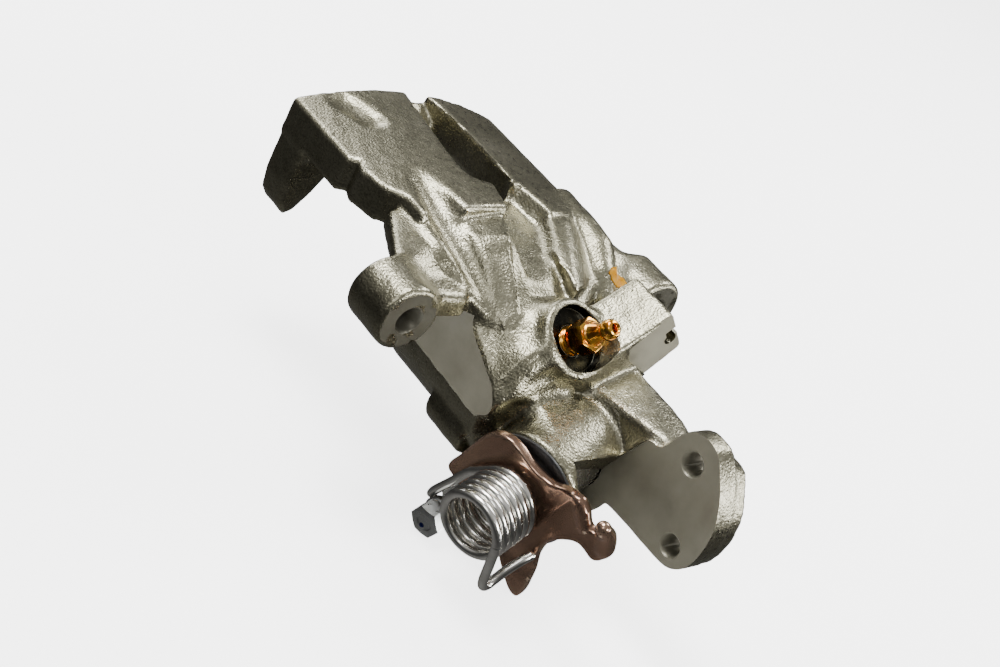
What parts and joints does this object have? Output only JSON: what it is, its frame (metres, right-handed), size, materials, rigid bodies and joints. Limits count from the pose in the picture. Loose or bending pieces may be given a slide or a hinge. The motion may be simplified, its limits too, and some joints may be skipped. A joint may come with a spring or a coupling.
{
  "type": "brake caliper",
  "caption": "Rear sliding disc-brake caliper with a bridge and two fingers, one piston, and a sprung parking-brake lever on a cross shaft.",
  "frame": {"origin": "centre of the piston's front face, with the piston fully retracted", "axes": "+Y along the piston towards the fingers, +Z away from the wheel axle towards the bridge, +X across the disc towards the hose port"},
  "size_m": [0.135, 0.19, 0.0876],
  "materials": {
    "zinc_cast_iron": "rough casting, bright zinc plate, machined faces",
    "ground_steel": "ground and polished",
    "seal_rubber": "matt moulded",
    "boot_rubber": "matt moulded",
    "phosphate_steel": "phosphate coated, oiled",
    "spring_steel": "satin",
    "bronze_bush": "satin",
    "bronze_chromate": "glossy bronze chromate over pressed steel",
    "bright_zinc": "bright zinc plate",
    "yellow_chromate": "glossy yellow chromate over steel"
  },
  "bodies": {
    "caliper_body": {"caliper_housing": "zinc_cast_iron", "piston_seal": "seal_rubber", "dust_boot": "boot_rubber", "spring_cup": "spring_steel", "bore_retaining_ring": "spring_steel", "adjuster_spring": "spring_steel", "shaft_bush_inner": "bronze_bush", "shaft_bush_outer": "bronze_bush", "shaft_seal": "seal_rubber", "shaft_boot": "boot_rubber", "return_spring": "bright_zinc", "spring_anchor_bolt": "bright_zinc", "anchor_washer": "bright_zinc"},
    "lever_assembly": {"cam_shaft": "ground_steel", "parking_lever": "bronze_chromate", "lever_washer": "bright_zinc", "lever_nut": "bright_zinc"},
    "adjuster_screw": {"adjuster_spindle": "phosphate_steel", "push_strut": "ground_steel", "spindle_o_ring": "seal_rubber"},
    "piston_assembly": {"piston": "ground_steel", "nut_thrust_washer": "spring_steel", "nut_retaining_ring": "spring_steel"},
    "adjuster_nut_body": {"adjuster_nut": "phosphate_steel"},
    "bleeder": {"bleeder_screw": "yellow_chromate"}
  },
  "joints": [
    {"name": "lever_turn", "type": "hinge", "parent": "caliper_body", "child": "lever_assembly", "pos_m": [0, -0.0732, -0.0089], "axis": [-0.9422, -0.2606, -0.2105], "range_deg": [0, 25], "stiffness_Nm_per_rad": 0.8, "springref_deg": -51.57, "deforming": ["return_spring", "adjuster_spring"]},
    {"name": "adjuster_screw_slide", "type": "slide", "parent": "caliper_body", "child": "adjuster_screw", "axis": [0, 1, 0], "range_m": [0, 0.0037], "deforming": ["return_spring", "adjuster_spring"]},
    {"name": "piston_slide", "type": "slide", "parent": "adjuster_screw", "child": "piston_assembly", "axis": [0, 1, 0], "range_m": [0, 0.022]},
    {"name": "nut_turn", "type": "hinge", "parent": "piston_assembly", "child": "adjuster_nut_body", "pos_m": [0, -0.022, 0], "axis": [0, 1, 0], "range_deg": [0, 1000]},
    {"name": "bleeder_turn", "type": "hinge", "parent": "caliper_body", "child": "bleeder", "pos_m": [0.002, -0.0528, 0.0251], "axis": [0, -0.6293, 0.7771], "range_deg": [0, 360]}
  ],
  "couplings": [
    {"joint": "lever_turn", "follows": "adjuster_screw_slide", "rad_per_m": 117.65},
    {"joint": "nut_turn", "follows": "piston_slide", "rad_per_m": 785.4}
  ]
}
